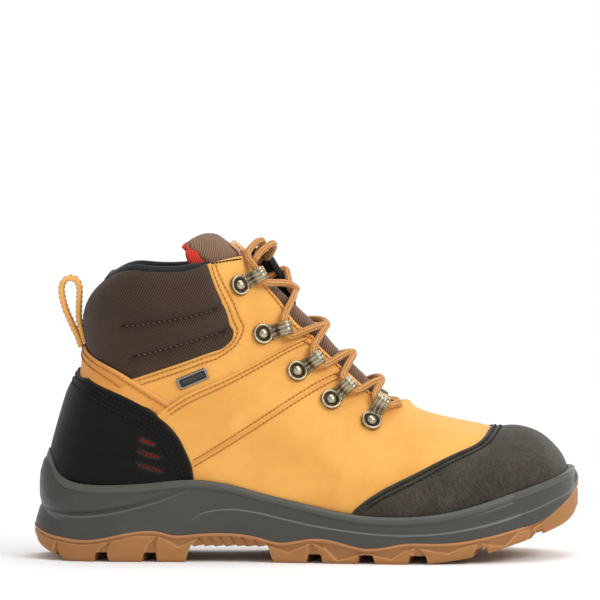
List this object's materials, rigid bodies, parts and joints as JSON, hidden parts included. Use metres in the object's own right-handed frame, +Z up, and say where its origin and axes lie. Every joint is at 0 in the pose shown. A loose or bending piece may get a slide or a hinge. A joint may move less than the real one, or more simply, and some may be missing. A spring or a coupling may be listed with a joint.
{
  "type": "safety work boot",
  "caption": "Ankle-high laced safety boot for the right foot, with a steel toe cap, padded collar, riveted lace loops and a lugged rubber outsole on a moulded midsole.",
  "frame": {"origin": "on the ground, under the centre of the boot's bounding box", "axes": "+X towards the toe, +Y to the wearer's left (the inner side of this right boot), +Z up"},
  "size_m": [0.305, 0.1108, 0.186],
  "materials": {
    "wheat_nubuck": "matt nubuck, wheat",
    "black_nubuck": "matt nubuck, near black",
    "brown_twill": "woven twill, brown",
    "grey_pu": "moulded polyurethane, satin grey",
    "gum_rubber": "moulded rubber, gum",
    "steel": "bare spring steel",
    "antique_brass": "aged brass plating",
    "black_mesh": "spacer mesh, black",
    "red_textile": "textile, red",
    "lace_cord": "round braided cord",
    "foam": "open-cell foam",
    "board": "pressed fibre board",
    "gunmetal": "gunmetal",
    "black_enamel": "black enamel"
  },
  "bodies": {
    "boot": {"ankle_collar": "brown_twill", "back_quarter": "wheat_nubuck", "badge_frame": "gunmetal", "badge_insert": "black_enamel", "collar_binding": "black_mesh", "collar_foam": "foam", "eyestay_lateral": "wheat_nubuck", "eyestay_medial": "wheat_nubuck", "heel_accent_lateral": "red_textile", "heel_accent_medial": "red_textile", "heel_overlay": "black_nubuck", "heel_stiffener": "board", "insole_board": "board", "lace": "lace_cord", "mid_quarter_lateral": "wheat_nubuck", "mid_quarter_medial": "wheat_nubuck", "midsole": "grey_pu", "outsole": "gum_rubber", "puncture_plate": "steel", "quarter_lining": "black_mesh", "rivet_lateral_1": "antique_brass", "rivet_lateral_2": "antique_brass", "rivet_lateral_3": "antique_brass", "rivet_lateral_4": "antique_brass", "rivet_lateral_5": "antique_brass", "rivet_medial_1": "antique_brass", "rivet_medial_2": "antique_brass", "rivet_medial_3": "antique_brass", "rivet_medial_4": "antique_brass", "rivet_medial_5": "antique_brass", "steel_shank": "steel", "steel_toe_cap": "steel", "toe_cap_edge_strip": "black_mesh", "toe_overlay": "black_nubuck", "vamp": "wheat_nubuck", "vamp_lining": "black_mesh"},
    "tongue": {"tongue_shell": "brown_twill", "tongue_foam": "foam", "tongue_lining": "red_textile", "tongue_tab": "wheat_nubuck"},
    "insole": {"footbed": "black_mesh"},
    "heel_pull": {"pull_loop": "wheat_nubuck"},
    "loop_lateral_1_body": {"loop_lateral_1": "antique_brass"},
    "loop_lateral_2_body": {"loop_lateral_2": "antique_brass"},
    "loop_lateral_3_body": {"loop_lateral_3": "antique_brass"},
    "loop_lateral_4_body": {"loop_lateral_4": "antique_brass"},
    "loop_lateral_5_body": {"loop_lateral_5": "antique_brass"},
    "loop_medial_1_body": {"loop_medial_1": "antique_brass"},
    "loop_medial_2_body": {"loop_medial_2": "antique_brass"},
    "loop_medial_3_body": {"loop_medial_3": "antique_brass"},
    "loop_medial_4_body": {"loop_medial_4": "antique_brass"},
    "loop_medial_5_body": {"loop_medial_5": "antique_brass"}
  },
  "joints": [
    {"name": "tongue_hinge", "type": "hinge", "parent": "boot", "child": "tongue", "pos_m": [0.0505, 0.00518, 0.086], "axis": [0, 1, 0], "range_deg": [-8, 0], "stiffness_Nm_per_rad": 0.15},
    {"name": "footbed_lift", "type": "hinge", "parent": "boot", "child": "insole", "pos_m": [0.1245, 0.00168, 0.0302], "axis": [0, 1, 0], "range_deg": [0, 6]},
    {"name": "pull_loop_fold", "type": "hinge", "parent": "boot", "child": "heel_pull", "pos_m": [-0.1305, 0.00168, 0.122], "axis": [0, 1, 0], "range_deg": [-55, 0], "stiffness_Nm_per_rad": 0.02},
    {"name": "loop_lateral_1_swivel", "type": "hinge", "parent": "boot", "child": "loop_lateral_1_body", "pos_m": [-0.0368, -0.02335, 0.15285], "axis": [0.4889, -0.837, 0.2458], "range_deg": [-8, 8], "stiffness_Nm_per_rad": 0.01, "deforming": ["lace"]},
    {"name": "loop_lateral_2_swivel", "type": "hinge", "parent": "boot", "child": "loop_lateral_2_body", "pos_m": [-0.02391, -0.02406, 0.12576], "axis": [0.3081, -0.9183, 0.2486], "range_deg": [-8, 8], "stiffness_Nm_per_rad": 0.01, "deforming": ["lace"]},
    {"name": "loop_lateral_3_swivel", "type": "hinge", "parent": "boot", "child": "loop_lateral_3_body", "pos_m": [-0.00482, -0.02534, 0.10515], "axis": [0.257, -0.9062, 0.3358], "range_deg": [-8, 8], "stiffness_Nm_per_rad": 0.01, "deforming": ["lace"]},
    {"name": "loop_lateral_4_swivel", "type": "hinge", "parent": "boot", "child": "loop_lateral_4_body", "pos_m": [0.01393, -0.02687, 0.08939], "axis": [0.2374, -0.8671, 0.4379], "range_deg": [-8, 8], "stiffness_Nm_per_rad": 0.01, "deforming": ["lace"]},
    {"name": "loop_lateral_5_swivel", "type": "hinge", "parent": "boot", "child": "loop_lateral_5_body", "pos_m": [0.0364, -0.02713, 0.07756], "axis": [0.269, -0.7831, 0.5607], "range_deg": [-8, 8], "stiffness_Nm_per_rad": 0.01, "deforming": ["lace"]},
    {"name": "loop_medial_1_swivel", "type": "hinge", "parent": "boot", "child": "loop_medial_1_body", "pos_m": [-0.03679, 0.02672, 0.15284], "axis": [0.4917, 0.8366, 0.2416], "range_deg": [-8, 8], "stiffness_Nm_per_rad": 0.01, "deforming": ["lace"]},
    {"name": "loop_medial_2_swivel", "type": "hinge", "parent": "boot", "child": "loop_medial_2_body", "pos_m": [-0.02402, 0.02888, 0.12585], "axis": [0.2598, 0.9212, 0.2897], "range_deg": [-8, 8], "stiffness_Nm_per_rad": 0.01, "deforming": ["lace"]},
    {"name": "loop_medial_3_swivel", "type": "hinge", "parent": "boot", "child": "loop_medial_3_body", "pos_m": [-0.00488, 0.0311, 0.10509], "axis": [0.2311, 0.9231, 0.3075], "range_deg": [-8, 8], "stiffness_Nm_per_rad": 0.01, "deforming": ["lace"]},
    {"name": "loop_medial_4_swivel", "type": "hinge", "parent": "boot", "child": "loop_medial_4_body", "pos_m": [0.01381, 0.03262, 0.08925], "axis": [0.1815, 0.9076, 0.3786], "range_deg": [-8, 8], "stiffness_Nm_per_rad": 0.01, "deforming": ["lace"]},
    {"name": "loop_medial_5_swivel", "type": "hinge", "parent": "boot", "child": "loop_medial_5_body", "pos_m": [0.03619, 0.03407, 0.07744], "axis": [0.1751, 0.8437, 0.5075], "range_deg": [-8, 8], "stiffness_Nm_per_rad": 0.01, "deforming": ["lace"]}
  ]
}
